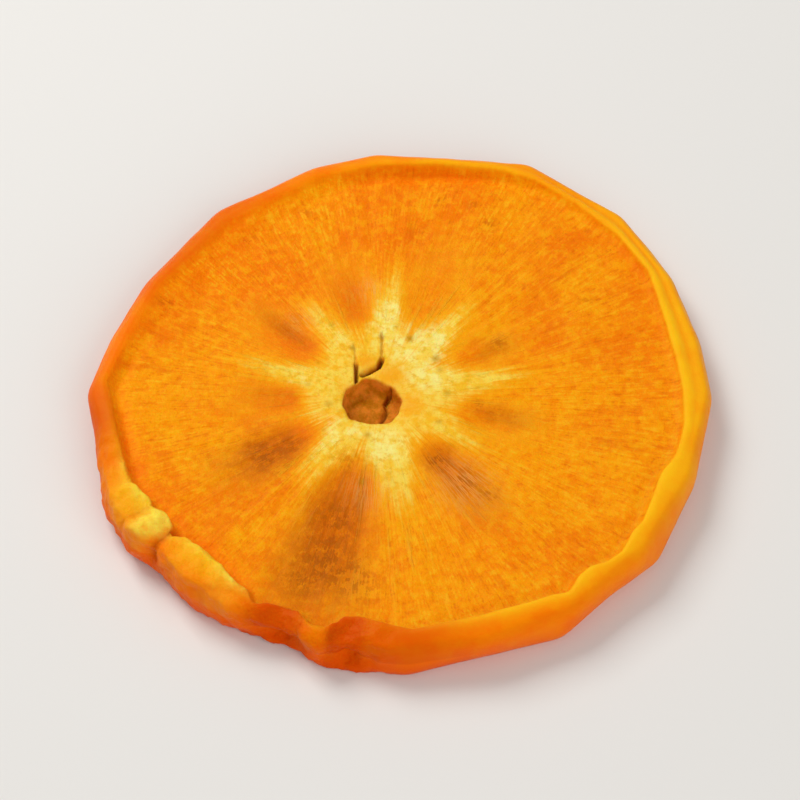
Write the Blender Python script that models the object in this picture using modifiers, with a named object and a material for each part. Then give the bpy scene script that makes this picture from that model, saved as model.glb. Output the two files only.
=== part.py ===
"""A dried persimmon slice: one piece of fruit, cut right across, peeled with a knife and dried.

Peeling leaves a ring of flat facets, and drying leaves a raised lip round both cut faces, nine sunken
seed chambers round a firm core, a small hollow in the middle of the core and a slightly curled disc.
Metres, +Z up. It lies on Z = 0 with the middle of its box on the Z axis.
"""

import math

import bpy
import numpy as np

MM = 0.001

# Driving dimensions.
RADIUS = 30.0 * MM
HEIGHT = 5.6 * MM
HOLLOW_RADIUS = 2.85 * MM
HOLLOW_CENTRE = (-3.0 * MM, -0.6 * MM)
CORE_CENTRE = (-2.1 * MM, 0.0)

# How finely the solid is faceted.
SECTORS = 96
STEP_LENGTH = 1.15 * MM

# The slice cut through its middle: (share of RADIUS, share of HEIGHT). It runs from the floor of the
# hollow out over the upper face and the lip, down the peeled edge and back under the slice.
SECTION = (
    (0.000, 0.30),
    (0.048, 0.31),
    (0.080, 0.36),
    (0.092, 0.49),
    (0.104, 0.62),
    (0.140, 0.68),
    (0.200, 0.69),
    (0.340, 0.63),
    (0.600, 0.62),
    (0.820, 0.65),
    (0.890, 0.69),
    (0.928, 0.84),
    (0.958, 0.94),
    (0.982, 0.88),
    (0.996, 0.72),
    (1.000, 0.48),
    (0.992, 0.24),
    (0.972, 0.06),
    (0.948, 0.00),
    (0.915, 0.00),
    (0.885, 0.07),
    (0.800, 0.14),
    (0.500, 0.16),
    (0.220, 0.12),
    (0.000, 0.12),
)

# Corners between the knife's facets: (degrees from +X, share of RADIUS).
PEEL_CORNERS = (
    (0, 0.988), (13, 0.980), (30, 0.998), (46, 1.022), (66, 1.024), (95, 0.984), (107, 0.975), (129, 0.966),
    (151, 0.945), (166, 0.957), (180, 1.000), (188, 0.982), (203, 1.012), (214, 1.012), (231, 0.985),
    (251, 0.990), (272, 0.996), (304, 1.001), (322, 0.984), (343, 0.966),
)
CORNER_ROUNDING = 4.0  # degrees either side
UNDER_EDGE_TWIST = 3.0  # degrees that the facets lean round the edge, from top to bottom
EDGE_FADE = 6  # the power by which the edge's own shape fades towards the middle

# Folds in the drying edge: (degrees, half width in degrees, share of RADIUS that the edge is drawn in).
EDGE_DENTS = ((243, 6, 0.030), (259, 5, 0.022), (219, 3, 0.012), (313, 5, 0.010), (97, 7, 0.008))
# Swellings of the lip: (degrees, half width in degrees, share of HEIGHT that it gains).
LIP_SWELLS = (
    (211, 8, 0.07), (229, 9, 0.05), (250, 4, -0.13), (256, 4, 0.05), (80, 16, 0.04), (140, 24, -0.09),
)
# Where the upper edge is drawn in over a wider foot: (degrees, half width in degrees, share of RADIUS).
EDGE_LEANS = ((222, 22, 0.030), (300, 30, 0.010))

# Seed chambers round the core: (degrees, depth in millimetres, outer end as a share of RADIUS).
CHAMBERS = (
    (30, 0.22, 0.50), (68, 0.30, 0.58), (103, 0.34, 0.56), (145, 0.34, 0.54), (182, 0.20, 0.50),
    (215, 0.42, 0.52), (257, 0.50, 0.72), (308, 0.46, 0.56), (347, 0.28, 0.58),
)
CHAMBER_INNER_END = 0.27  # share of RADIUS
CHAMBER_HALF_ANGLE = 11.0  # degrees
CHAMBER_UNDERSIDE = 0.6  # how deep they are underneath, against above
CHAMBER_BLUNTNESS = 0.6  # below 1, the deepest place is nearer the core than the tip

HOLLOW_SQUARENESS = 3  # 2 is a circle
HOLLOW_RAGGEDNESS = 0.02  # share of its radius

# The curl of the whole disc: (waves round the disc, height at the edge, degrees).
CURLS = ((2, 0.22 * MM, 20), (3, 0.16 * MM, 75))
PRESSED_FLAT = 0.20 * MM  # how far the curled foot was pressed flat by the drying tray

FACE_LEVEL = 0.4  # share of HEIGHT: above it lies the upper face, below it the underside
LIP_LEVEL = 0.95  # share of HEIGHT at the top of the lip


def spline(points, step):
    """A Catmull-Rom curve from axis to axis, level there, with a vertex about every step along it."""
    mirrored = [(-points[1][0], points[1][1]), *points, (-points[-2][0], points[-2][1])]
    guides = np.array(mirrored)
    curve = []
    for a, b, c, d in zip(guides, guides[1:], guides[2:], guides[3:]):
        steps = max(1, round(float(np.linalg.norm(c - b)) / step))
        for t in np.arange(steps) / steps:
            bend = (c - a) * t + (2 * a - 5 * b + 4 * c - d) * t**2 + (3 * b - a - 3 * c + d) * t**3
            curve.append(b + bend / 2)
    curve.append(guides[-2])
    return np.array(curve)


def turned_section():
    """The section turned right round the Z axis by a Screw modifier, as an object."""
    section = spline([(r * RADIUS, z * HEIGHT) for r, z in SECTION], STEP_LENGTH)
    mesh = bpy.data.meshes.new("section")
    edges = [(i, i + 1) for i in range(len(section) - 1)]
    mesh.from_pydata([(r, 0, z) for r, z in section], edges, [])
    profile = bpy.data.objects.new("section", mesh)
    bpy.context.scene.collection.objects.link(profile)
    screw = profile.modifiers.new("turn", "SCREW")
    screw.angle = 2 * math.pi
    screw.steps = screw.render_steps = SECTORS
    screw.use_merge_vertices = True
    screw.merge_threshold = 0.01 * MM
    return profile


def swell(degrees, centre, half_width):
    """1 at the centre, falling smoothly to 0 over about twice the half width, round the circle."""
    off = (degrees - centre + 180) % 360 - 180
    return np.exp(-((off / half_width) ** 2))


def total(degrees, bumps):
    return sum(size * swell(degrees, centre, half_width) for centre, half_width, size in bumps)


def peeled_radius(degrees):
    """Distance to the peeled edge: straight facets with rounded corners, and the folds of drying."""
    step = 0.5
    fine = np.arange(0, 360, step)
    bearing = np.radians(fine)
    corners = PEEL_CORNERS + ((PEEL_CORNERS[0][0] + 360, PEEL_CORNERS[0][1]),)
    angles, radii = np.radians([c[0] for c in corners]), np.array([c[1] for c in corners])
    facet = np.searchsorted(angles, bearing, side="right") - 1
    a, b, p, q = angles[facet], angles[facet + 1], radii[facet], radii[facet + 1]
    chord = p * q * np.sin(b - a) / (p * np.sin(bearing - a) + q * np.sin(b - bearing))
    window = np.hanning(2 * round(CORNER_ROUNDING / step) + 3)[1:-1]
    rounded = np.convolve(np.tile(chord, 3), window / window.sum(), "same")[len(fine):2 * len(fine)]
    radius = np.interp(degrees, fine, rounded, period=360)
    return RADIUS * (radius - total(degrees, EDGE_DENTS))


def hollow_radius(degrees):
    """The hollow is a rounded square, a little ragged."""
    t = np.radians(degrees)
    power = HOLLOW_SQUARENESS
    square = (np.abs(np.cos(t)) ** power + np.abs(np.sin(t)) ** power) ** (-1 / power)
    return HOLLOW_RADIUS * square * (1 + HOLLOW_RAGGEDNESS * np.cos(5 * t + 1.0))


def chamber_depth(x, y):
    """How far the seed chambers sink the face at each point."""
    x, y = x - CORE_CENTRE[0], y - CORE_CENTRE[1]
    degrees, reach = np.degrees(np.arctan2(y, x)), np.hypot(x, y) / RADIUS
    depth = np.zeros_like(x)
    for centre, deep, end in CHAMBERS:
        along = np.clip((reach - CHAMBER_INNER_END) / (end - CHAMBER_INNER_END), 0, 1)
        taper = np.sin(math.pi * along**CHAMBER_BLUNTNESS)
        depth += deep * MM * taper * swell(degrees, centre, CHAMBER_HALF_ANGLE)
    return depth


def dried(points):
    """The turned section drawn out to the peeled edge and in to the hollow, sunk, swollen and curled."""
    turned = np.hypot(points[:, 0], points[:, 1])
    degrees = np.degrees(np.arctan2(points[:, 1], points[:, 0]))
    height = points[:, 2]
    level = height / HEIGHT
    share = np.clip((turned - HOLLOW_RADIUS) / (RADIUS - HOLLOW_RADIUS), 0, 1)
    edge = share**EDGE_FADE
    outer = peeled_radius(degrees + UNDER_EDGE_TWIST * (0.5 - level) * edge)
    outer -= RADIUS * total(degrees, EDGE_LEANS) * edge * level
    inner = hollow_radius(degrees) * np.minimum(turned / HOLLOW_RADIUS, 1)
    radius = inner * (1 - share) + outer * share
    x = HOLLOW_CENTRE[0] * (1 - share) + radius * np.cos(np.radians(degrees))
    y = HOLLOW_CENTRE[1] * (1 - share) + radius * np.sin(np.radians(degrees))
    sunk = chamber_depth(x, y)
    z = height + np.where(level > FACE_LEVEL, -sunk, CHAMBER_UNDERSIDE * sunk)
    lip = edge * np.clip(level - FACE_LEVEL, 0, None) / (LIP_LEVEL - FACE_LEVEL)
    z += HEIGHT * total(degrees, LIP_SWELLS) * lip
    curl = sum(lift * np.cos(waves * np.radians(degrees - at)) for waves, lift, at in CURLS)
    z += curl * share**2 - PRESSED_FLAT
    return np.column_stack([x, y, np.maximum(z, 0.0)])


def flesh():
    """The dried flesh's finish."""
    material = bpy.data.materials.new("dried_flesh")
    material.use_nodes = True
    shader = material.node_tree.nodes["Principled BSDF"]
    shader.inputs["Base Color"].default_value = (0.88, 0.27, 0.01, 1)
    shader.inputs["Roughness"].default_value = 0.5
    shader.inputs["Metallic"].default_value = 0.0
    return material


def slice_object(collection):
    profile = turned_section()
    bpy.context.view_layer.update()
    graph = bpy.context.evaluated_depsgraph_get()
    mesh = bpy.data.meshes.new_from_object(profile.evaluated_get(graph))
    bpy.data.objects.remove(profile)
    mesh.name = "persimmon_slice"
    places = dried(np.array([v.co for v in mesh.vertices]))
    lowest, highest = places.min(axis=0), places.max(axis=0)
    places[:, :2] -= (lowest + highest)[:2] / 2
    mesh.vertices.foreach_set("co", places.astype(np.float32).ravel())
    mesh.shade_smooth()
    mesh.materials.append(flesh())
    mesh.update()
    collection.objects.link(bpy.data.objects.new("persimmon_slice", mesh))


def main():
    for old in list(bpy.data.objects):
        bpy.data.objects.remove(old)
    collection = bpy.data.collections.new("dried_persimmon_slice")
    bpy.context.scene.collection.children.link(collection)
    slice_object(collection)


main()
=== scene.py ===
"""The looks of a dried persimmon slice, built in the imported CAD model's frame.

One mesh stands for the whole slice. It is a ring of cross-sections: each runs from the floor of the
hollow in the core, out over the upper face and the lip, down the peeled edge and back under the slice.
Metres, +Z up, unless a name or a comment says otherwise. Angles are in degrees from +X.
"""

import math

import bpy
import numpy as np
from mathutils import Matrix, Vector, noise


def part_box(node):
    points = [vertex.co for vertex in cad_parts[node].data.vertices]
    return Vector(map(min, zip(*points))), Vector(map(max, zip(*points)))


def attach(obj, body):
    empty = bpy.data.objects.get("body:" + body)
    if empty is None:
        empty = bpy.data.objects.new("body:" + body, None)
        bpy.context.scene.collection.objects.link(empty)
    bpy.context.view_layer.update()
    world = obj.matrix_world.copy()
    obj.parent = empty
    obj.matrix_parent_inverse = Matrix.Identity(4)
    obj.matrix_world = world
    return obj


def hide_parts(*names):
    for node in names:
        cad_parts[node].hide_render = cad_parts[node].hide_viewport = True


MM = 0.001
NODE = "persimmon_slice"

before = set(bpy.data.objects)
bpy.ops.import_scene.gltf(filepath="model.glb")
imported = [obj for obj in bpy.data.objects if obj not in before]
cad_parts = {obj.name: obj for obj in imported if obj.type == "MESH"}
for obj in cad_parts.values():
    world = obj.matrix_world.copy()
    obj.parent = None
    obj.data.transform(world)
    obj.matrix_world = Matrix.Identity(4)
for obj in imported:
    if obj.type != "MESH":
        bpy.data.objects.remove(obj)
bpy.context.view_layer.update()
LOWEST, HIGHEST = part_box(NODE)
WIDTH_IN_RADII = 1.978  # not quite two, because the knife's facets cut in
RADIUS = (HIGHEST.x - LOWEST.x) / WIDTH_IN_RADII
HEIGHT = HIGHEST.z - LOWEST.z

# ---------------------------------------------------------------------------------------------------
# Shape. Rings of corners are (degrees, share of RADIUS), joined by the knife's straight facets.
# ---------------------------------------------------------------------------------------------------

SECTORS = 528

# The outer shoulder of the upper edge, seen from above.
SHOULDER_CORNERS = (
    (0, 0.985), (13, 0.980), (28, 0.995), (45, 1.022), (66, 1.024), (95, 0.984), (107, 0.975),
    (129, 0.966), (151, 0.945), (166, 0.957), (180, 1.000), (187, 0.976), (195, 0.978), (203, 1.006),
    (213, 1.012), (218, 0.968), (226, 0.985), (237, 0.972), (247, 0.938), (254, 0.985), (260, 0.948),
    (268, 0.968), (286, 0.974), (303, 0.978), (312, 0.960), (321, 0.975), (341, 0.968),
)
# The lower edge, where the peeled side turns under.
FOOT_CORNERS = (
    (2, 0.975), (16, 0.962), (33, 0.985), (48, 1.002), (69, 1.000), (92, 0.975), (110, 0.960),
    (131, 0.950), (153, 0.940), (170, 0.960), (184, 0.975), (203, 1.010), (213, 1.015), (219, 0.975),
    (228, 0.990), (236, 0.975), (248, 0.948), (256, 0.980), (271, 0.984), (300, 0.986), (312, 0.955),
    (324, 0.985), (341, 0.962),
)
# The inner edge of the lip's crest.
CREST_CORNERS = (
    (0, 0.912), (8, 0.905), (21, 0.915), (31, 0.950), (42, 0.962), (53, 0.966), (63, 0.975),
    (70, 0.968), (82, 0.942), (95, 0.938), (107, 0.935), (129, 0.915), (151, 0.912), (166, 0.920),
    (178, 0.955), (186, 0.930), (198, 0.930), (204, 0.935), (208, 0.908), (211, 0.918), (214, 0.895),
    (217, 0.900), (218, 0.925), (220, 0.895), (225, 0.878), (233, 0.900), (238, 0.905), (240, 0.935),
    (246, 0.890), (249, 0.895), (252, 0.930), (255, 0.935), (258, 0.880), (261, 0.862), (266, 0.885),
    (272, 0.912), (286, 0.898), (301, 0.918), (304, 0.938), (308, 0.905), (311, 0.902), (314, 0.925),
    (318, 0.934), (323, 0.912), (326, 0.917), (332, 0.900), (339, 0.890), (344, 0.912), (352, 0.918),
)
CORNER_ROUNDING = 2.5  # degrees either side
CREST_ROUNDING = 1.0  # degrees either side
# The hollow in the core, about its own centre.
HOLLOW_CENTRE = (-0.102, -0.020)  # shares of RADIUS
HOLLOW_CORNERS = (
    (0, 0.092), (35, 0.082), (80, 0.080), (107, 0.092), (129, 0.084), (153, 0.096), (189, 0.100),
    (224, 0.106), (268, 0.088), (302, 0.098), (328, 0.090),
)
HOLLOW_ROUNDING = 9.0  # degrees either side
HOLLOW_PULL = 0.9  # share of RADIUS out to which the hollow's centre draws the rings towards it

# Heights, in millimetres above the surface that the slice lies on.
FLOOR_TOP = 1.95
CORE_TOP = 3.66
FACE_TOP = 3.45
LIP_TOP = 4.55
UNDERSIDE = 0.80

# What changes round the lip: (degrees, half width in degrees, how much).
LIP_RISES = (  # millimetres
    (15, 26, -0.30), (50, 14, -0.20), (82, 16, 0.10), (140, 26, -0.20), (190, 12, 0.20), (206, 4, 0.50),
    (213.5, 3, 0.85), (227, 8, 0.70), (246, 4, -0.60), (253, 2.5, 0.25), (260, 3, -0.45),
    (285, 22, 0.45), (325, 18, 0.40),
)
INNER_SLOPES = (  # share of RADIUS that the lip's inner slope takes, over SLOPE
    (113, 14, 0.035), (140, 18, 0.060), (163, 10, 0.025),
)
SLOPE = 0.026
CREST_DIPS = ((18, 24, 0.20), (50, 16, 0.15))  # millimetres, between twin ridges
GROOVES = ((82, 17, 0.28), (190, 14, 0.30), (228, 10, 0.20), (140, 26, -0.10))  # millimetres
SIDE_BULGE = 0.020  # share of RADIUS that the side stands out at half height
SIDE_CREASES = ((247, 4.5, 0.045), (260, 3.5, 0.040), (218, 2.0, 0.020))  # share of RADIUS drawn in
# Sharp creases across the lip and down the side: (degrees, half width in degrees, millimetres deep).
CREASES = (
    (210.2, 0.6, 0.16), (217.6, 0.7, 0.36), (240.5, 0.8, 0.12), (250.0, 0.7, 0.16), (257.0, 1.0, 0.25),
)

# The lip's palest places at its inner edge, partly pale of their own, partly painted highlight: (degrees,
# half width in degrees, how pale).
PALE_LIPS_AND_HIGHLIGHTS = ((214, 2.8, 1.0), (206.5, 3.2, 0.65), (224, 4, 0.40), (233.5, 3.5, 0.85), (199, 3, 0.35))
# How the lip is coloured round the slice, painted highlight and painted shade among it: (degrees, half
# width in degrees, how much).
# Paler along the crest: partly the lip's own colour, partly painted highlight where its edge catches the
# light.
PALE_CREST_AND_HIGHLIGHTS = (  # bright along the crest
    (20, 40, 1.00), (318, 34, 1.00), (283, 14, 0.60), (80, 18, 0.55), (190, 9, 0.60), (207, 6, 1.20),
    (226, 8, 1.20), (253, 2.5, 0.60),
)
# How far down the lip the pale crest and its painted highlight reach.
PALE_CREST_AND_HIGHLIGHT_WIDTHS = ((38, 44, 3.20), (330, 30, 1.50), (208, 7, 1.60), (226, 8, 0.80), (190, 8, 0.40))
# Painted shade, darker and redder: on the upper left's broad inner slope, in the notch's dents, the left
# groove and the front fold.
PAINTED_LIP_SHADES = ((138, 26, 0.58), (245, 5, 1.30), (259, 3.0, 1.00), (186, 9, 0.75), (268, 16, 0.70))
LUMP = (214, 4)  # where the paleness runs over the lip: degrees, half width in degrees
# Painted shade in the groove between twin ridges.
TWIN_SHADE = (28, 34)  # where the groove between twin ridges is shaded
# Darker and redder towards the foot, partly painted shade; least so here.
LIT_FOOT = (340, 42)  # where the foot is least red
# Painted shade in the groove inside the lip.
GUTTER_SHADES = ((82, 15, 0.80), (192, 13, 1.00), (228, 11, 0.75), (20, 26, 0.25), (135, 20, 0.30))

CURLS = ((2, 0.22, 20), (3, 0.16, 75))  # waves round the disc, millimetres at the edge, degrees
PRESSED_FLAT = 0.20  # millimetres that the curled foot was pressed flat by the drying tray

# Relief, as noise: (millimetres high, millimetres across, octaves, shift of the pattern).
UNEVEN_FACE = (0.16, 9.0, 2, 0.0)
ROUGH_FACE = (0.07, 2.6, 3, 11.0)
WAVY_SIDE = (0.05, 5.0, 2, 31.0)
PUCKERS = (0.30, 1.5, 3, 51.0)
PITTED_HOLLOW = (0.12, 1.3, 2, 5.0)
SIDE_ROUGHNESS = 0.35  # how rough the side is, against the face
SIDE_FLATTENING = (1, 1, 2.5)  # the side's waves are longer round the slice than they are high
FIBRE_RIDGES = (0.07, 120, 9.0)  # millimetres high, how many round the slice, millimetres long
STAR_STANDS = 0.10  # millimetres that the core's star stands out
UNDERSIDE_CHAMBERS = 0.7  # how deep the chambers are underneath, against above
PUCKERED_FROM = (180, 200)  # degrees over which the rolls and lumps set in
PUCKERED_TO = (262, 272)  # degrees over which they end

# ---------------------------------------------------------------------------------------------------
# The cut face: the core's star, the seed chambers, cracks and specks, about the core's centre.
# ---------------------------------------------------------------------------------------------------

CORE_CENTRE = (-0.07, 0.0)  # shares of RADIUS
# How far the pale star reaches: (degrees, share of RADIUS).
STAR = (
    (0, 0.30), (12, 0.50), (20, 0.34), (31, 0.26), (40, 0.30), (51, 0.50), (60, 0.36), (68, 0.30),
    (76, 0.34), (84, 0.52), (92, 0.44), (98, 0.32), (104, 0.28), (112, 0.32), (123, 0.46), (132, 0.34),
    (143, 0.25), (152, 0.30), (163, 0.46), (172, 0.32), (182, 0.26), (190, 0.25), (200, 0.28),
    (210, 0.25), (219, 0.28), (228, 0.38), (236, 0.45), (244, 0.34), (252, 0.25), (260, 0.28),
    (268, 0.40), (276, 0.48), (285, 0.42), (296, 0.26), (307, 0.23), (318, 0.27), (328, 0.40),
    (336, 0.32), (347, 0.25),
)
STAR_BLUR = 0.24  # share of RADIUS over which the star fades
# Seed chambers: (degrees, inner end, outer end, half width in degrees, millimetres deep).
CHAMBERS = (
    (29, 0.29, 0.56, 10, 0.10), (68, 0.33, 0.74, 10, 0.15), (103, 0.31, 0.66, 9, 0.26),
    (142, 0.27, 0.62, 11, 0.26), (182, 0.27, 0.55, 11, 0.18), (211, 0.26, 0.62, 11, 0.30),
    (256, 0.27, 0.95, 12, 0.34), (309, 0.24, 0.66, 10, 0.30), (347, 0.27, 0.58, 10, 0.15),
)
COLOURED_CHAMBER_DEPTH = 0.28  # millimetres, from which a chamber has its full colour
COLOURED_CHAMBER_SPREAD = 1.15  # how much wider a chamber's colour is than its hollow
# Brown stains in them: (degrees, inner end, outer end, half width in degrees, how brown).
STAINS = (
    (212, 0.27, 0.72, 11, 1.00), (253, 0.22, 1.20, 13, 1.00), (309, 0.22, 0.72, 10, 0.80),
    (349, 0.28, 0.60, 6, 0.55), (28, 0.33, 0.56, 6, 0.45), (138, 0.26, 0.66, 5, 0.60),
    (180, 0.24, 0.50, 8, 0.40), (104, 0.28, 0.60, 6, 0.30),
)
# Spots are (x, y, half width, how much), in shares of RADIUS from the slice's middle.
# The palest parts of the core.
PALE_SPOTS = (
    (-0.03, 0.33, 0.07, 0.8), (0.08, 0.22, 0.09, 1.0), (0.09, 0.09, 0.08, 1.0), (0.02, 0.25, 0.08, 0.9),
    (-0.25, -0.14, 0.07, 1.0), (-0.04, -0.20, 0.08, 0.8), (-0.13, -0.16, 0.06, 0.5),
    (-0.32, 0.07, 0.06, 0.4), (-0.20, 0.24, 0.07, 0.4),
)
# Where the core is oranger, next to the hollow.
BEVELS = (
    (-0.03, 0.075, 0.050, 1.0), (0.03, -0.04, 0.050, 0.9), (-0.11, 0.13, 0.035, 1.0),
    (-0.17, 0.03, 0.03, 0.5),
)
# Where the flesh is redder.
WARMED = (
    (-0.50, 0.50, 0.36, 0.8), (0.10, 0.78, 0.30, 0.6), (-0.19, 0.43, 0.06, 0.9),
    (-0.37, 0.27, 0.07, 0.7), (0.72, 0.10, 0.25, 0.3), (0.35, -0.62, 0.25, 0.25),
)
# Where brown grains gather, and the small dark marks that are painted shade in pits and creases.
BROWNED_AND_PIT_SHADE = (
    (-0.43, -0.225, 0.075, 1.0), (-0.34, -0.18, 0.045, 0.6), (-0.17, -0.27, 0.050, 0.5),
    (-0.20, -0.45, 0.085, 0.8), (-0.23, -0.60, 0.100, 0.8), (-0.31, -0.70, 0.080, 0.6),
    (-0.15, -0.71, 0.080, 0.6), (0.12, -0.24, 0.045, 0.9), (0.20, -0.32, 0.045, 0.8),
    (0.28, -0.38, 0.040, 0.5), (0.25, -0.03, 0.025, 0.5), (0.31, -0.055, 0.028, 0.5),
    (0.37, -0.08, 0.025, 0.4), (0.32, 0.22, 0.035, 0.6), (-0.36, 0.29, 0.045, 0.4),
    # From here on, the small ones are painted shade of pits and creases in the face.
    (0.135, 0.80, 0.022, 0.55), (0.29, 0.69, 0.026, 0.60), (0.075, 0.67, 0.020, 0.40),
    (0.24, 0.77, 0.018, 0.40), (-0.50, 0.64, 0.022, 0.45), (-0.31, 0.76, 0.018, 0.40),
    (-0.76, 0.37, 0.026, 0.50), (0.61, 0.385, 0.024, 0.35), (-0.62, -0.24, 0.024, 0.35),
    (0.47, -0.50, 0.020, 0.35),
)
# Pinkish grey fibres beside some chambers.
GREYED = (
    (-0.095, 0.43, 0.045, 0.6), (-0.31, 0.31, 0.05, 0.5), (0.20, -0.33, 0.09, 0.7),
    (-0.10, -0.36, 0.07, 0.6),
)
# How much further out than half way the pale fibres run: (degrees, half width, share of RADIUS).
FIBRE_REACH = (
    (268, 26, 0.34), (58, 6, 0.22), (163, 5, 0.26), (84, 6, 0.16), (308, 10, 0.14), (125, 6, 0.10),
)
# Bundles of vessels cut across: (degrees, share of RADIUS, width in millimetres, darkness).
SPECKS = (
    (67, 0.245, 0.75, 0.9), (39, 0.231, 0.80, 0.8), (79, 0.280, 0.50, 0.4), (28, 0.218, 0.60, 0.5),
    (116, 0.209, 0.60, 0.8), (89, 0.234, 0.60, 0.7), (256, 0.160, 0.70, 0.6), (2, 0.216, 0.80, 0.5),
    (192, 0.169, 0.80, 0.5), (119, 0.324, 0.60, 0.5), (252, 0.245, 0.50, 0.5), (260, 0.335, 0.70, 0.6),
    (170, 0.235, 0.60, 0.4), (331, 0.215, 0.60, 0.5), (217, 0.225, 0.45, 0.4), (147, 0.240, 0.50, 0.4),
)
# Cracks beside the hollow: (points as shares of RADIUS, millimetres wide, millimetres deep).
CRACKS = (
    (((-0.144, 0.040), (-0.146, 0.122)), 0.28, 1.1),
    (((-0.146, 0.122), (-0.152, 0.205)), 0.18, 0.25),
    (((-0.128, 0.084), (-0.108, 0.092), (-0.074, 0.112), (-0.062, 0.145)), 0.37, 1.1),
    (((-0.062, 0.145), (-0.062, 0.250)), 0.22, 0.30),
)
FLOOR_CRACK = (((-0.040, 0.030), (-0.052, 0.008), (-0.046, -0.022), (-0.066, -0.075)), 0.34, 0.5)

# ---------------------------------------------------------------------------------------------------
# Colours, as linear red, green and blue, and the fine texture
# ---------------------------------------------------------------------------------------------------

COLOURS = {
    # The flesh of the cut faces.
    "deep flesh": (0.90, 0.205, 0.0006),
    "flesh": (0.97, 0.325, 0.001),
    "blotch": (0.98, 0.380, 0.002),
    "warm": (0.94, 0.185, 0.0005),
    "light mottle": (0.98, 0.440, 0.004),
    "dark mottle": (0.84, 0.165, 0.0005),
    "fleck": (0.98, 0.480, 0.012),
    "pore": (0.72, 0.145, 0.0005),
    "streak": (0.76, 0.150, 0.0005),
    "chamber": (0.88, 0.185, 0.0005),
    "chamber border": (0.98, 0.450, 0.008),
    "fibre": (0.97, 0.520, 0.030),
    # The core.
    "halo": (0.97, 0.410, 0.004),
    "deep core": (0.95, 0.520, 0.022),
    "core": (0.96, 0.670, 0.085),
    "deep pale core": (0.95, 0.660, 0.080),
    "pale core": (0.97, 0.820, 0.240),
    "core grain": (0.78, 0.440, 0.014),
    "bevel": (0.96, 0.380, 0.010),
    # Stains, specks, the hollow and the cracks.
    "stain": (0.52, 0.100, 0.0015),
    # Brown grains, and painted shade in pits and creases.
    "brown grain and pit shade": (0.36, 0.078, 0.002),
    "greyed": (0.84, 0.370, 0.085),
    "speck": (0.50, 0.240, 0.002),
    "deep hollow": (0.50, 0.165, 0.003),
    "hollow": (0.78, 0.240, 0.018),
    # Painted shade in the cracks.
    "crack": (0.24, 0.042, 0.002),
    # The peeled edge.
    "deep peel": (0.97, 0.200, 0.0005),
    "peel": (0.98, 0.265, 0.001),
    # Darker and redder towards the foot: partly the peel's own colour, partly painted shade.
    "foot": (0.90, 0.070, 0.0004),
    # The crest's own paler colour, with painted highlight.
    "pale_crest_and_highlight": (0.99, 0.525, 0.007),
    # Painted shade in the lip's hollows and dents.
    "painted lip shade": (0.64, 0.055, 0.0003),
    # Pale places on the lip: partly their own colour, partly painted highlight.
    "pale lip and highlight": (0.99, 0.780, 0.080),
    # Painted highlight along the foot of the side.
    "foot_highlight": (0.98, 0.340, 0.030),
    # Painted shade in the groove inside the lip.
    "gutter": (0.93, 0.150, 0.0005),
    # Painted shade in the creases across the lip.
    "crease": (0.55, 0.065, 0.0005),
    # What the whole surface tints its highlights with.
    "sheen": (1.0, 0.50, 0.05),
}
FIBRE_LENGTH = 9 * MM
FIBRE_FINENESS = 22.0  # fibres to the radian, round the core
TEXTURE_DEPTH = 0.26 * MM
LIGHT_REACH = 1.8 * MM  # how far light spreads in the flesh

# ---------------------------------------------------------------------------------------------------
# What the slice is seen with. A light is (name, direction, metres away, metres wide, watts, colour).
# ---------------------------------------------------------------------------------------------------

CAMERA_ELEVATION = 54.5  # degrees above the floor
CAMERA_DISTANCE = 0.425
CAMERA_LENS = 198  # millimetres
CAMERA_NEAREST = 0.01
LIGHTS = (
    ("key", (-0.55, 0.60, 0.85), 0.50, 0.25, 1.62, (1.0, 0.98, 0.95)),
    ("fill", (0.45, -0.80, 0.60), 0.60, 0.50, 1.5, (1.0, 0.98, 0.96)),
)
SKY_COLOUR = (1.0, 0.99, 0.97, 1)
SKY_STRENGTH = 0.38
FLOOR_WIDTH = 3.0
FLOOR_GAP = 0.02 * MM  # keeps the floor clear of the foot
FLOOR_COLOUR = (0.80, 0.79, 0.77, 1)
FLOOR_ROUGHNESS = 0.8


def soft_step(low, high, value):
    """0 below low, 1 above high, smooth between."""
    t = np.clip((value - low) / (high - low), 0, 1)
    return t * t * (3 - 2 * t)


def swell(degrees, centre, half_width):
    """1 at the centre, falling smoothly to 0 over about twice the half width, round the circle."""
    off = (degrees - centre + 180) % 360 - 180
    return np.exp(-((off / half_width) ** 2))


def total(degrees, bumps):
    return sum(size * swell(degrees, centre, half_width) for centre, half_width, size in bumps)


def facets(corners, degrees, rounding=CORNER_ROUNDING):
    """Distance from the middle to straight facets between the corners, rounded where they meet."""
    step = 0.25
    fine = np.arange(0, 360, step)
    first = corners[0]
    bearing = np.radians(fine - first[0]) % (2 * math.pi)
    angles = np.radians([c[0] - first[0] for c in corners] + [360.0])
    radii = np.array([c[1] for c in corners] + [first[1]])
    facet = np.searchsorted(angles, bearing, side="right") - 1
    a, b, p, q = angles[facet], angles[facet + 1], radii[facet], radii[facet + 1]
    chord = p * q * np.sin(b - a) / (p * np.sin(bearing - a) + q * np.sin(b - bearing))
    window = np.hanning(2 * round(rounding / step) + 3)[1:-1]
    rounded = np.convolve(np.tile(chord, 3), window / window.sum(), "same")[len(fine):2 * len(fine)]
    return np.interp(degrees, fine, rounded, period=360)


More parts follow.
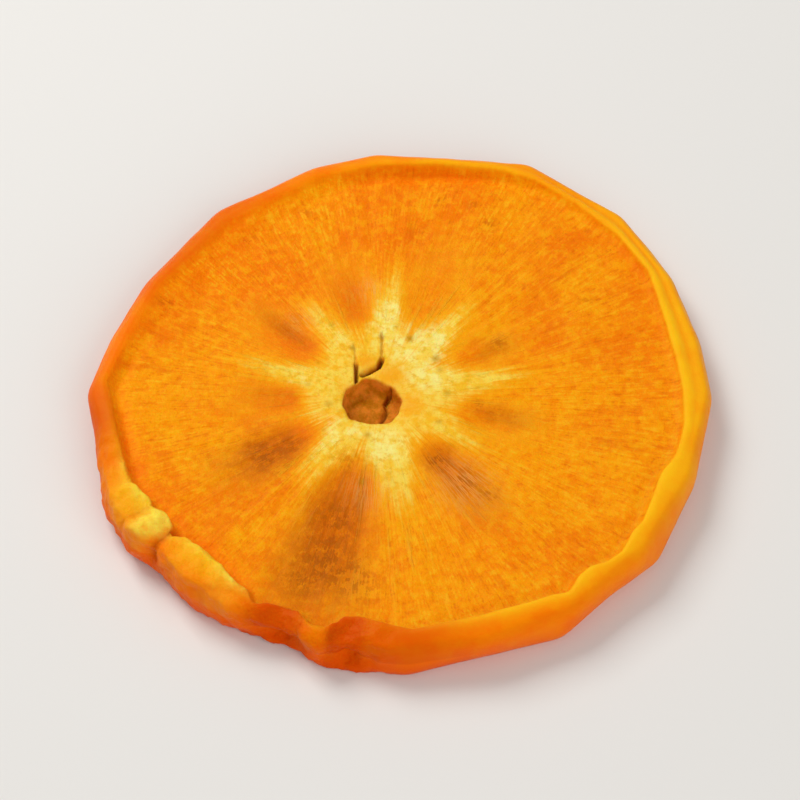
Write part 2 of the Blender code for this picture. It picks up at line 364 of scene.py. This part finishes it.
def section(degrees):
    """The section's own points at each angle, as (reach, height, spacing) with reach a share of RADIUS,
    height in millimetres, and spacing the gap between mesh rings up to the next point, in millimetres."""
    shoulder, foot = facets(SHOULDER_CORNERS, degrees), facets(FOOT_CORNERS, degrees)
    crest = facets(CREST_CORNERS, degrees, CREST_ROUNDING)
    hollow = facets(HOLLOW_CORNERS, degrees, HOLLOW_ROUNDING)
    lip = LIP_TOP + total(degrees, LIP_RISES)
    slope = SLOPE + total(degrees, INNER_SLOPES)
    middle = (shoulder + foot) / 2 + SIDE_BULGE - total(degrees, SIDE_CREASES)
    gutter = FACE_TOP + 0.20 - total(degrees, GROOVES)
    rise = lip - gutter
    return (
        (0, FLOOR_TOP, 0.40),
        (0.45 * hollow, FLOOR_TOP, 0.30),
        (0.80 * hollow, FLOOR_TOP + 0.05, 0.15),
        (0.92 * hollow, FLOOR_TOP + 0.70, 0.15),
        (0.97 * hollow, CORE_TOP - 0.50, 0.15),
        (1.03 * hollow, CORE_TOP - 0.08, 0.15),
        (1.18 * hollow, CORE_TOP, 0.20),
        (0.200, CORE_TOP + 0.04, 0.22),
        (0.300, CORE_TOP - 0.08, 0.28),
        (0.420, FACE_TOP + 0.03, 0.40),
        (0.600, FACE_TOP, 0.40),
        (np.minimum(0.760, crest - slope - 0.110), FACE_TOP + 0.03, 0.40),
        (crest - slope - 0.045, FACE_TOP + 0.12, 0.25),
        (crest - slope, gutter, 0.20),
        (crest - 0.45 * slope, gutter + 0.42 * rise, 0.18),
        (crest - 0.10 * slope, lip - 0.08 * rise, 0.15),
        (0.85 * crest + 0.15 * shoulder, lip, 0.15),
        (0.50 * crest + 0.50 * shoulder, lip - 0.08 - total(degrees, CREST_DIPS), 0.18),
        (shoulder - 0.008, lip - 0.25, 0.18),
        (shoulder + 0.012, lip - 0.95, 0.25),
        (middle, 0.52 * lip, 0.30),
        (foot + 0.012, 0.24 * lip, 0.25),
        (foot - 0.008, 0.25, 0.25),
        (foot - 0.034, 0, 0.30),
        (foot - 0.070, 0, 0.35),
        (foot - 0.105, 0.42, 0.60),
        (0.780, UNDERSIDE, 1.20),
        (0.500, UNDERSIDE + 0.12, 1.00),
        (0.300, UNDERSIDE - 0.05, 0.90),
        (0.150, UNDERSIDE - 0.12, 0.70),
        (0.060, UNDERSIDE - 0.02, 0.50),
        (0, UNDERSIDE + 0.15, 0.50),
    )


# Places along the section, counted in its points.
HOLLOW_ENDS = 5
LIP_STARTS = 13
CREST_STARTS = 15
SHOULDER = 18
SIDE_MIDDLE = 20
FOOT_ENDS = 24
UNDER_STARTS = 25


def rings(degrees):
    """Cubic curves through the section's points: reach and height of each ring at each angle, and where
    each ring is along the section."""
    points = section(degrees)
    reach = [np.broadcast_to(r, degrees.shape) * RADIUS / MM for r, _, _ in points]
    height = [np.broadcast_to(z, degrees.shape) for _, z, _ in points]
    guides = np.stack([reach, height], axis=1)
    gaps = np.linalg.norm(np.diff(guides, axis=0), axis=1).mean(axis=1)
    slopes = np.diff(guides, axis=0) / gaps[:, None, None]
    inside = (slopes[:-1] * gaps[1:, None, None] + slopes[1:] * gaps[:-1, None, None])
    inside /= (gaps[1:] + gaps[:-1])[:, None, None]
    level = np.stack([slopes[0], slopes[-1]])
    level[:, 1] = 0
    tangents = np.concatenate([level[:1], inside, level[1:]])
    curves, places = [], []
    for k, gap in enumerate(gaps):
        steps = max(1, math.ceil(gap / points[k][2]))
        for t in np.arange(steps) / steps:
            ahead, start, end = t * t * (3 - 2 * t), t * (1 - t) ** 2, t * t * (t - 1)
            curves.append(guides[k] * (1 - ahead) + guides[k + 1] * ahead
                          + gap * (tangents[k] * start + tangents[k + 1] * end))
            places.append(k + t)
    curves.append(guides[-1])
    places.append(len(gaps))
    curves = np.array(curves) * MM
    return curves[:, 0], curves[:, 1], np.array(places)


class Grid:
    """The mesh's points as rings by sectors, with what the relief and the colours need to know."""

    def __init__(self):
        self.degrees = np.arange(SECTORS) * 360 / SECTORS
        reach, height, places = rings(self.degrees)
        self.along = np.repeat(places[:, None], SECTORS, axis=1)
        pull = 1 - np.clip(reach / RADIUS / HOLLOW_PULL, 0, 1)
        bearing = np.radians(self.degrees)
        self.x = HOLLOW_CENTRE[0] * RADIUS * pull + reach * np.cos(bearing)
        self.y = HOLLOW_CENTRE[1] * RADIUS * pull + reach * np.sin(bearing)
        self.z = height
        core_x, core_y = self.x / RADIUS - CORE_CENTRE[0], self.y / RADIUS - CORE_CENTRE[1]
        self.reach = np.hypot(core_x, core_y)
        self.turn = np.degrees(np.arctan2(core_y, core_x)) % 360
        self.upper = self.along < SIDE_MIDDLE
        self.cut = np.where(self.upper, 1 - soft_step(CREST_STARTS - 1.5, CREST_STARTS + 0.5, self.along),
                            soft_step(FOOT_ENDS, UNDER_STARTS + 0.5, self.along))
        self.hollow = self.upper * (1 - soft_step(HOLLOW_ENDS - 0.4, HOLLOW_ENDS + 0.6, self.along))

    def points(self):
        return np.stack([self.x, self.y, self.z], axis=-1)

    def normals(self):
        points = self.points()
        across = np.roll(points, -1, axis=1) - np.roll(points, 1, axis=1)
        along = np.gradient(points, axis=0)
        normals = np.cross(along, across)
        size = np.linalg.norm(normals, axis=-1, keepdims=True)
        normals = np.where(size > 1e-14, normals / np.maximum(size, 1e-14), (0, 0, 1))
        normals[0], normals[-1] = (0, 0, 1), (0, 0, -1)
        return normals

    def push(self, distance):
        """Moves the surface out along its normals, by an array of distances."""
        normals = self.normals()
        self.x = self.x + normals[..., 0] * distance
        self.y = self.y + normals[..., 1] * distance
        self.z = self.z + normals[..., 2] * distance


def clouds(points, size, octaves, shift=0.0):
    """Smooth noise from about -1 to 1 with features of the given size, at each point."""
    flat = points.reshape(-1, 3) / size + shift
    values = [noise.fractal(Vector(p), 0.8, 2.0, octaves) for p in flat.tolist()]
    return np.array(values).reshape(points.shape[:-1])


def relief(points, kind):
    """Noise of one kind at each point, in millimetres."""
    high, across, octaves, shift = kind
    return high * clouds(points, across * MM, octaves, shift)


def fibre_ridges(grid):
    """Ridges drawn out along the radii, in millimetres of height."""
    high, count, length = FIBRE_RIDGES
    bearing = np.radians(grid.turn)
    round_ = count / (2 * math.pi)
    out = grid.reach * RADIUS / (length * MM)
    points = np.stack([np.cos(bearing) * round_, np.sin(bearing) * round_, out], axis=-1)
    return high * clouds(points, 1.0, 2)


def distance_to(grid, route):
    """Distance from each point to a route of straight runs, seen from above."""
    here = np.stack([grid.x, grid.y], axis=-1)
    nearest = np.full(grid.x.shape, np.inf)
    for start, end in zip(route, route[1:]):
        a, b = np.array(start) * RADIUS, np.array(end) * RADIUS
        t = np.clip(((here - a) @ (b - a)) / ((b - a) @ (b - a)), 0, 1)
        nearest = np.minimum(nearest, np.linalg.norm(here - a - t[..., None] * (b - a), axis=-1))
    return nearest


def chamber_shape(grid, inner, outer, centre, half_width):
    """A seed chamber: blunt towards the core, tapering outwards."""
    along = np.clip((grid.reach - inner) / (outer - inner), 0, 1)
    taper = soft_step(0, 0.20, along) * (1 - soft_step(0.35, 1.0, along))
    off = (grid.turn - centre + 180) % 360 - 180
    return taper * np.exp(-np.abs(off / (half_width * (1 - 0.25 * along))) ** 3)


def crack_shape(grid, crack):
    route, width, _ = crack
    return np.exp(-((distance_to(grid, route) / (width * MM / 2)) ** 2))


def crease_shape(grid, crease):
    """A crease across the lip and down the side, in millimetres of depth."""
    centre, half_width, deep = crease
    across = soft_step(LIP_STARTS - 0.5, CREST_STARTS, grid.along)
    across = across * (1 - soft_step(SHOULDER + 0.5, SIDE_MIDDLE + 1.5, grid.along))
    return deep * across * swell(grid.degrees, centre, half_width)


def puckered(grid):
    """Where the edge is wrinkled into rolls and lumps."""
    arc = soft_step(*PUCKERED_FROM, grid.degrees) * (1 - soft_step(*PUCKERED_TO, grid.degrees))
    return arc * (1 - grid.cut)


def add_relief(grid):
    """What drying did to the plain shape, coarse first."""
    face = grid.upper * grid.cut * (1 - grid.hollow)
    under = ~grid.upper * grid.cut
    points = grid.points()
    depth = np.zeros_like(grid.x)
    for centre, inner, outer, half_width, deep in CHAMBERS:
        depth += deep * chamber_shape(grid, inner, outer, centre, half_width)
    push = -depth * (face + UNDERSIDE_CHAMBERS * under)
    star = np.interp(grid.turn, *zip(*STAR), period=360)
    push += STAR_STANDS * face * (1 - soft_step(star - 0.06, star + 0.05, grid.reach))
    push += relief(points, UNEVEN_FACE) * grid.cut
    push += relief(points, ROUGH_FACE) * (grid.cut + SIDE_ROUGHNESS * (1 - grid.cut))
    ridges = soft_step(0.22, 0.42, grid.reach) * (1 - soft_step(0.75, 0.95, grid.reach))
    push += fibre_ridges(grid) * ridges * grid.cut
    push += relief(points * SIDE_FLATTENING, WAVY_SIDE) * (1 - grid.cut)
    push += relief(points, PUCKERS) * puckered(grid)
    push += relief(points, PITTED_HOLLOW) * grid.hollow
    for crack in CRACKS:
        push -= crack[2] * crack_shape(grid, crack) * face
    push -= sum(crease_shape(grid, crease) for crease in CREASES)
    push -= FLOOR_CRACK[2] * crack_shape(grid, FLOOR_CRACK) * grid.hollow
    grid.push(push * MM)


def curl(grid):
    """The disc curls, and lies on the parts of its foot that were pressed flat."""
    lift = sum(size * np.cos(waves * np.radians(grid.degrees - at)) for waves, size, at in CURLS)
    share = np.clip(np.hypot(grid.x, grid.y) / RADIUS, 0, 1) ** 2
    grid.z = np.maximum(grid.z + (lift * share - PRESSED_FLAT) * MM, 0)
    for axis in ("x", "y"):
        values = getattr(grid, axis)
        setattr(grid, axis, values - (values.min() + values.max()) / 2)


def spots(grid, places):
    """Soft round spots, seen from above."""
    x, y = grid.x / RADIUS, grid.y / RADIUS
    return sum(much * np.exp(-(((x - a) ** 2 + (y - b) ** 2) / width**2)) for a, b, width, much in places)


def fibrous(grid):
    """Where pale fibres show: round the core, and furthest out where the slice is palest."""
    inner, outer = soft_step(0.18, 0.34, grid.reach), 0.50 + total(grid.turn, FIBRE_REACH)
    return inner * (1 - soft_step(outer - 0.22, outer + 0.04, grid.reach))


def lip_marks(grid):
    """The colour masks of the lip and the side, by name."""
    crest = soft_step(LIP_STARTS + 0.6, CREST_STARTS, grid.along)
    reach = 0.9 + total(grid.degrees, PALE_CREST_AND_HIGHLIGHT_WIDTHS)
    crest = crest * (1 - soft_step(CREST_STARTS + 0.2, CREST_STARTS + 0.6 + 2 * reach, grid.along))
    lip = soft_step(LIP_STARTS - 0.8, CREST_STARTS - 1, grid.along) * grid.upper
    pale = total(grid.degrees, PALE_LIPS_AND_HIGHLIGHTS) * soft_step(LIP_STARTS + 0.4, CREST_STARTS - 0.5, grid.along)
    over = CREST_STARTS + 0.2 + 2.2 * swell(grid.degrees, *LUMP)
    pale = pale * (1 - 0.85 * soft_step(over, over + 2, grid.along)) * grid.upper
    twin = 0.5 * swell(grid.degrees, *TWIN_SHADE) * np.exp(-(((grid.along - CREST_STARTS - 2) / 0.35) ** 2))
    gutter = np.exp(-(((grid.along - LIP_STARTS - 0.1) / 0.55) ** 2)) * total(grid.degrees, GUTTER_SHADES)
    # Darker and redder towards the foot: partly the peel's own colour, partly painted shade.
    low = soft_step(SHOULDER - 0.3, FOOT_ENDS - 1.5, grid.along) * (1 - grid.cut)
    low = low * (1 - 0.75 * swell(grid.degrees, *LIT_FOOT))
    return {
        # Paler along the crest, partly painted highlight.
        "crest": crest * np.clip(total(grid.degrees, PALE_CREST_AND_HIGHLIGHTS), 0, 1),
        # Painted shade on the lip and down the side, in hollows and dents.
        "painted_lip_shade": np.clip(total(grid.degrees, PAINTED_LIP_SHADES), 0, 1) * np.maximum(lip, low),
        # Painted shade in the groove inside the lip and between twin ridges.
        "gutter": gutter + twin,
        # Painted shade in the creases across the lip and down the side.
        "crease": np.clip(sum(2.2 * crease_shape(grid, c) for c in CREASES), 0, 1),
        # Pale places on the lip: partly their own colour, partly painted highlight.
        "pale_lip_and_highlight": pale,
        "low": low,
        # Painted highlight along the foot of the side.
        "foot_highlight": np.exp(-(((grid.along - FOOT_ENDS + 1.3) / 0.45) ** 2)),
        "puckered": puckered(grid),
    }


def face_marks(grid):
    """The colour masks of the cut faces and the hollow, by name."""
    star = np.interp(grid.turn, *zip(*STAR), period=360)
    chamber, brown, border = np.zeros((3, *grid.x.shape))
    for centre, inner, outer, half_width, deep in CHAMBERS:
        shape = chamber_shape(grid, inner - 0.05, outer, centre, half_width * COLOURED_CHAMBER_SPREAD)
        chamber = np.maximum(chamber, min(1, deep / COLOURED_CHAMBER_DEPTH) * shape)
        border = np.maximum(border, 4 * shape * (1 - shape))
    for centre, inner, outer, half_width, much in STAINS:
        brown = np.maximum(brown, much * chamber_shape(grid, inner, outer, centre, half_width))
    speck = np.zeros_like(grid.x)
    for degrees, reach, width, dark in SPECKS:
        across = reach * np.radians((grid.turn - degrees + 180) % 360 - 180)
        away = np.hypot(across, grid.reach - reach) * RADIUS / (width * MM / 2)
        speck = np.maximum(speck, dark * np.exp(-(away**2)))
    crack = np.max([crack_shape(grid, c) * min(1, c[2]) for c in CRACKS], axis=0) * (1 - grid.hollow)
    crack = np.maximum(crack, crack_shape(grid, FLOOR_CRACK) * grid.hollow)
    crack = crack * grid.upper
    return {
        "core": 0.5 + np.clip((star - grid.reach) / STAR_BLUR, -0.5, 0.5),
        "pale": spots(grid, PALE_SPOTS) * grid.upper,
        "bevel": spots(grid, BEVELS) * grid.upper,
        "greyed": spots(grid, GREYED),
        "warm": spots(grid, WARMED),
        "chamber": chamber,
        "brown": brown,
        "browned_and_pit_shade": spots(grid, BROWNED_AND_PIT_SHADE),
        "border": border,
        "fibrous": fibrous(grid),
        "speck": speck,
        # Painted shade in the cracks.
        "crack": crack,
        "hollow": grid.hollow,
        "cut": grid.cut,
    }


def build_mesh(grid):
    rows, points = grid.x.shape[0], grid.points()
    ringed = points[1:-1].reshape(-1, 3)
    bottom = len(ringed) + 1
    vertices = np.concatenate([points[0, :1], ringed, points[-1, :1]])
    here = 1 + np.arange((rows - 3) * SECTORS).reshape(-1, SECTORS)
    beside = np.roll(here, -1, axis=1)
    quads = np.stack([here, here + SECTORS, beside + SECTORS, beside], axis=-1).reshape(-1, 4)
    first, last = 1 + np.arange(SECTORS), bottom - SECTORS + np.arange(SECTORS)
    fans = [(0, a, b) for a, b in zip(first.tolist(), np.roll(first, -1).tolist())]
    fans += [(bottom, b, a) for a, b in zip(last.tolist(), np.roll(last, -1).tolist())]
    mesh = bpy.data.meshes.new("dried_slice")
    mesh.from_pydata(vertices.tolist(), [], quads.tolist() + fans)
    for name, values in (face_marks(grid) | lip_marks(grid)).items():
        values = np.concatenate([values[0, :1], values[1:-1].ravel(), values[-1, :1]])
        layer = mesh.attributes.new(name, "FLOAT", "POINT")
        layer.data.foreach_set("value", np.clip(values, 0, 1).astype(np.float32))
    mesh.shade_smooth()
    return mesh


# ---------------------------------------------------------------------------------------------------
# Material. Its blends run from one named colour to the next by patterns of noise and by the masks.
# ---------------------------------------------------------------------------------------------------


class Nodes:
    """Short calls for the shader nodes that the flesh is made of, and the patterns that they share."""

    def __init__(self, material):
        material.use_nodes = True
        self.tree = material.node_tree
        self.shader = self.tree.nodes["Principled BSDF"]
        place = self.add("TexCoord").outputs["Object"]
        spoke = self.spoke(place)
        self.grain = self.noise(place, 0.70 * MM, 3.0, 0.65)
        self.fine = self.noise(place, 0.22 * MM, 2.0)
        self.patch = self.noise(place, 9 * MM, 2.0)
        self.blotch = self.noise(place, 2.6 * MM, 3.0, 0.6)
        self.mottle = self.noise(place, 1.0 * MM, 3.0, 0.6)
        self.fibre = self.noise(spoke, 1.0, 3.0, 0.65)
        self.strand = self.noise(spoke, 0.22, 2.0, 0.6)
        self.speckle = self.math("MULTIPLY_ADD", self.grain, 0.50, self.times(self.strand, 0.50))
        self.thread = self.math("MULTIPLY", self.ramp(self.fibre, 0.54, 0.76), self.mark("fibrous"))

    def spoke(self, place):
        """Coordinates that run round the core and out from it, for fibres that lie along the radii."""
        centre = (CORE_CENTRE[0] * RADIUS, CORE_CENTRE[1] * RADIUS, 0)
        from_core = self.add("VectorMath", {0: place, 1: centre}, operation="SUBTRACT").outputs[0]
        flat = self.add("VectorMath", {0: from_core, 1: (1, 1, 0)}, operation="MULTIPLY").outputs[0]
        bearing = self.add("VectorMath", {0: flat}, operation="NORMALIZE").outputs[0]
        reach = self.add("VectorMath", {0: flat}, operation="LENGTH").outputs["Value"]
        out = self.add("CombineXYZ", {"Z": self.math("MULTIPLY", reach, 1 / FIBRE_LENGTH)}).outputs[0]
        round_ = self.add("VectorMath", {0: bearing, "Scale": FIBRE_FINENESS}, operation="SCALE").outputs[0]
        return self.add("VectorMath", {0: round_, 1: out}, operation="ADD").outputs[0]

    def add(self, kind, inputs=None, **settings):
        node = self.tree.nodes.new("ShaderNode" + kind)
        for name, value in settings.items():
            setattr(node, name, value)
        for key, value in (inputs or {}).items():
            self.feed(value, node.inputs[key])
        return node

    def feed(self, value, socket):
        """A link, the name of a colour, or a plain value."""
        if isinstance(value, bpy.types.NodeSocket):
            self.tree.links.new(value, socket)
        elif isinstance(value, str):
            socket.default_value = (*COLOURS[value], 1)
        else:
            socket.default_value = value

    def mark(self, name):
        return self.add("Attribute", attribute_name=name).outputs["Fac"]

    def math(self, operation, a, b=0.0, c=0.0, clamp=False):
        node = self.add("Math", {0: a, 1: b, 2: c}, operation=operation, use_clamp=clamp)
        return node.outputs[0]

    def times(self, value, amount):
        return self.math("MULTIPLY", value, amount)

    def ramp(self, value, low, high):
        """0 below low, 1 above high, smooth between."""
        node = self.add("MapRange", {"Value": value, "From Min": low, "From Max": high},
                        interpolation_type="SMOOTHSTEP")
        return node.outputs["Result"]

    def noise(self, vector, size, detail, roughness=0.5):
        """Noise from 0 to 1 with features of that size in the vector's own units."""
        inputs = {"Vector": vector, "Scale": 1 / size, "Detail": detail, "Roughness": roughness}
        return self.add("TexNoise", inputs).outputs["Fac"]

    def blend(self, share, a, b):
        """From colour a to colour b by the share."""
        node = self.add("Mix", {0: share, 6: a, 7: b}, data_type="RGBA")
        return node.outputs[2]


def orange_flesh(n):
    """Orange, patchy flesh, with pale and dark grains drawn out a little along the radii."""
    flesh = n.blend(n.ramp(n.patch, 0.38, 0.62), "deep flesh", "flesh")
    flesh = n.blend(n.times(n.ramp(n.blotch, 0.42, 0.68), 0.40), flesh, "blotch")
    flesh = n.blend(n.times(n.mark("warm"), 0.75), flesh, "warm")
    flesh = n.blend(n.times(n.ramp(n.mottle, 0.50, 0.66), 0.42), flesh, "light mottle")
    flesh = n.blend(n.times(n.ramp(n.mottle, 0.50, 0.34), 0.36), flesh, "dark mottle")
    flecked = n.math("MULTIPLY_ADD", n.ramp(n.patch, 0.40, 0.62), 0.45, 0.25)
    flesh = n.blend(n.math("MULTIPLY", n.ramp(n.speckle, 0.51, 0.63), flecked), flesh, "fleck")
    flesh = n.blend(n.times(n.ramp(n.speckle, 0.47, 0.33), 0.60), flesh, "pore")
    streaky = n.math("MULTIPLY", n.ramp(n.fibre, 0.44, 0.28), n.ramp(n.blotch, 0.62, 0.40))
    flesh = n.blend(n.times(streaky, 0.55), flesh, "streak")
    flesh = n.blend(n.times(n.mark("border"), 0.35), flesh, "chamber border")
    flesh = n.blend(n.times(n.mark("chamber"), 0.60), flesh, "chamber")
    return n.blend(n.times(n.thread, 0.60), flesh, "fibre")


def with_core(n, flesh):
    """The core: a soft orange-yellow halo, then yellow with a torn, fibrous border, palest in spots."""
    fibres = n.math("MULTIPLY_ADD", n.fibre, 1.4, -0.7)
    ragged = n.math("ADD", fibres, n.math("MULTIPLY_ADD", n.speckle, 0.8, -0.4))
    torn = n.math("ADD", n.mark("core"), ragged)
    torn = n.math("MULTIPLY_ADD", n.mark("chamber"), -0.65, torn)
    flesh = n.blend(n.times(n.ramp(torn, 0.00, 0.55), 0.75), flesh, "halo")
    yellow = n.blend(n.ramp(n.mottle, 0.38, 0.60), "deep core", "core")
    pale = n.blend(n.ramp(n.mottle, 0.38, 0.62), "deep pale core", "pale core")
    spot = n.math("ADD", n.mark("pale"), n.math("MULTIPLY_ADD", n.speckle, 1.6, -0.8))
    yellow = n.blend(n.ramp(spot, 0.15, 0.85), yellow, pale)
    yellow = n.blend(n.times(n.ramp(n.grain, 0.48, 0.32), 0.60), yellow, "core grain")
    yellow = n.blend(n.times(n.mark("bevel"), 0.8), yellow, "bevel")
    return n.blend(n.ramp(torn, 0.35, 1.00), flesh, yellow)


def with_stains(n, flesh):
    """Brown stains in streaks and in grains, pinkish grey fibres, and specks."""
    streak = n.math("MULTIPLY_ADD", n.ramp(n.fibre, 0.36, 0.62), 0.55, n.ramp(n.speckle, 0.42, 0.58))
    stain = n.math("MULTIPLY", n.mark("brown"), n.math("MULTIPLY_ADD", streak, 0.45, 0.20), clamp=True)
    flesh = n.blend(stain, flesh, "stain")
    grains = n.math("MULTIPLY_ADD", n.mottle, 0.35, n.times(n.speckle, 0.65))
    grains = n.math("MULTIPLY_ADD", n.ramp(grains, 0.515, 0.470), 0.68, 0.12)
    # Brown grains, and painted shade in pits and creases.
    flesh = n.blend(n.math("MULTIPLY", n.mark("browned_and_pit_shade"), grains, clamp=True), flesh, "brown grain and pit shade")
    greyed = n.math("MULTIPLY", n.mark("greyed"), n.ramp(n.strand, 0.42, 0.60))
    flesh = n.blend(greyed, flesh, "greyed")
    return n.blend(n.mark("speck"), flesh, "speck")


def with_hollow(n, flesh):
    inside = n.blend(n.ramp(n.mottle, 0.35, 0.65), "deep hollow", "hollow")
    flesh = n.blend(n.mark("hollow"), flesh, inside)
    # Painted shade in the cracks.
    return n.blend(n.mark("crack"), flesh, "crack")


def peeled_edge(n):
    """The peeled edge: smoother; bright along the crest of the lip, partly painted highlight; painted shade
    in its dents; redder towards the foot, partly painted shade.
    """
    peel = n.blend(n.ramp(n.blotch, 0.35, 0.65), "deep peel", "peel")
    # Darker and redder towards the foot: partly the peel's own colour, partly painted shade.
    peel = n.blend(n.mark("low"), peel, "foot")
    pale_crest_and_highlight = n.math("MULTIPLY", n.mark("crest"), n.math("MULTIPLY_ADD", n.blotch, 0.7, 0.55), clamp=True)
    peel = n.blend(pale_crest_and_highlight, peel, "pale_crest_and_highlight")
    # Painted shade in the lip's hollows and dents.
    peel = n.blend(n.times(n.mark("painted_lip_shade"), 0.85), peel, "painted lip shade")
    # Pale places on the lip: partly their own colour, partly painted highlight.
    patchy = n.math("MULTIPLY_ADD", n.mottle, 2.4, -0.30)
    peel = n.blend(n.math("MULTIPLY", n.mark("pale_lip_and_highlight"), patchy, clamp=True), peel, "pale lip and highlight")
    # Painted highlight along the foot of the side.
    return n.blend(n.times(n.mark("foot_highlight"), 0.35), peel, "foot_highlight")


def texture(n):
    """Height of the fine texture, in TEXTURE_DEPTHs: grains, fibres and the puckered edge."""
    height = n.math("MULTIPLY_ADD", n.grain, 0.7, n.times(n.fine, 0.3))
    height = n.math("MULTIPLY", height, n.math("MULTIPLY_ADD", n.mark("cut"), 0.7, 0.3))
    height = n.math("ADD", height, n.math("MULTIPLY", n.times(n.mottle, 1.6), n.mark("puckered")))
    return n.math("ADD", height, n.math("MULTIPLY", n.thread, n.times(n.mark("cut"), 0.6)))


def flesh_material():
    material = bpy.data.materials.new("dried_persimmon_flesh")
    n = Nodes(material)
    flesh = with_hollow(n, with_stains(n, with_core(n, orange_flesh(n))))
    colour = n.blend(n.mark("cut"), peeled_edge(n), flesh)
    # Painted shade in the groove inside the lip and between twin ridges.
    colour = n.blend(n.times(n.mark("gutter"), 0.7), colour, "gutter")
    # Painted shade in the creases across the lip and down the side.
    colour = n.blend(n.times(n.mark("crease"), 0.8), colour, "crease")
    bump = n.add("Bump", {"Strength": 0.8, "Distance": TEXTURE_DEPTH, "Height": texture(n)})
    looks = {
        "Base Color": colour,
        "Roughness": n.math("MULTIPLY_ADD", n.grain, 0.25, 0.38),
        "Specular IOR Level": 0.22,
        "Specular Tint": "sheen",
        "Subsurface Weight": 0.35,
        "Subsurface Radius": (1.0, 0.30, 0.05),
        "Subsurface Scale": LIGHT_REACH,
        "Normal": bump.outputs[0],
    }
    for name, value in looks.items():
        n.feed(value, n.shader.inputs[name])
    return material


# ---------------------------------------------------------------------------------------------------
# The slice, and what it is seen with
# ---------------------------------------------------------------------------------------------------


def slice_piece():
    grid = Grid()
    add_relief(grid)
    curl(grid)
    mesh = build_mesh(grid)
    mesh.materials.append(flesh_material())
    piece = bpy.data.objects.new("dried_persimmon_slice", mesh)
    bpy.context.scene.collection.objects.link(piece)
    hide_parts(NODE)
    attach(piece, "root")


def floor():
    bpy.ops.mesh.primitive_plane_add(size=FLOOR_WIDTH, location=(0, 0, -FLOOR_GAP))
    plane = bpy.context.object
    plane.name = "floor"
    material = bpy.data.materials.new("pale_floor")
    material.use_nodes = True
    shader = material.node_tree.nodes["Principled BSDF"]
    shader.inputs["Base Color"].default_value = FLOOR_COLOUR
    shader.inputs["Roughness"].default_value = FLOOR_ROUGHNESS
    plane.data.materials.append(material)


def softbox(name, towards, distance, size, power, colour):
    """A square area light at that distance from the slice, in that direction, facing it."""
    data = bpy.data.lights.new(name, "AREA")
    data.size, data.energy, data.color = size, power, colour
    light = bpy.data.objects.new(name, data)
    light.location = Vector(towards).normalized() * distance
    light.rotation_euler = light.location.to_track_quat("Z", "Y").to_euler()
    bpy.context.scene.collection.objects.link(light)


def lighting():
    world = bpy.data.worlds.new("studio")
    world.use_nodes = True
    sky = world.node_tree.nodes["Background"]
    sky.inputs["Color"].default_value = SKY_COLOUR
    sky.inputs["Strength"].default_value = SKY_STRENGTH
    bpy.context.scene.world = world
    for light in LIGHTS:
        softbox(*light)


def camera():
    elevation = math.radians(CAMERA_ELEVATION)
    aim = Vector((0, 0, HEIGHT / 2))
    data = bpy.data.cameras.new("camera")
    data.lens = CAMERA_LENS
    data.clip_start = CAMERA_NEAREST
    seen_from = bpy.data.objects.new("camera", data)
    away = Vector((0, -math.cos(elevation), math.sin(elevation)))
    seen_from.location = aim + CAMERA_DISTANCE * away
    seen_from.rotation_euler = (math.pi / 2 - elevation, 0, 0)
    bpy.context.scene.collection.objects.link(seen_from)
    bpy.context.scene.camera = seen_from


def main():
    bpy.context.scene.view_settings.view_transform = "Standard"
    camera()
    lighting()
    floor()
    slice_piece()


main()
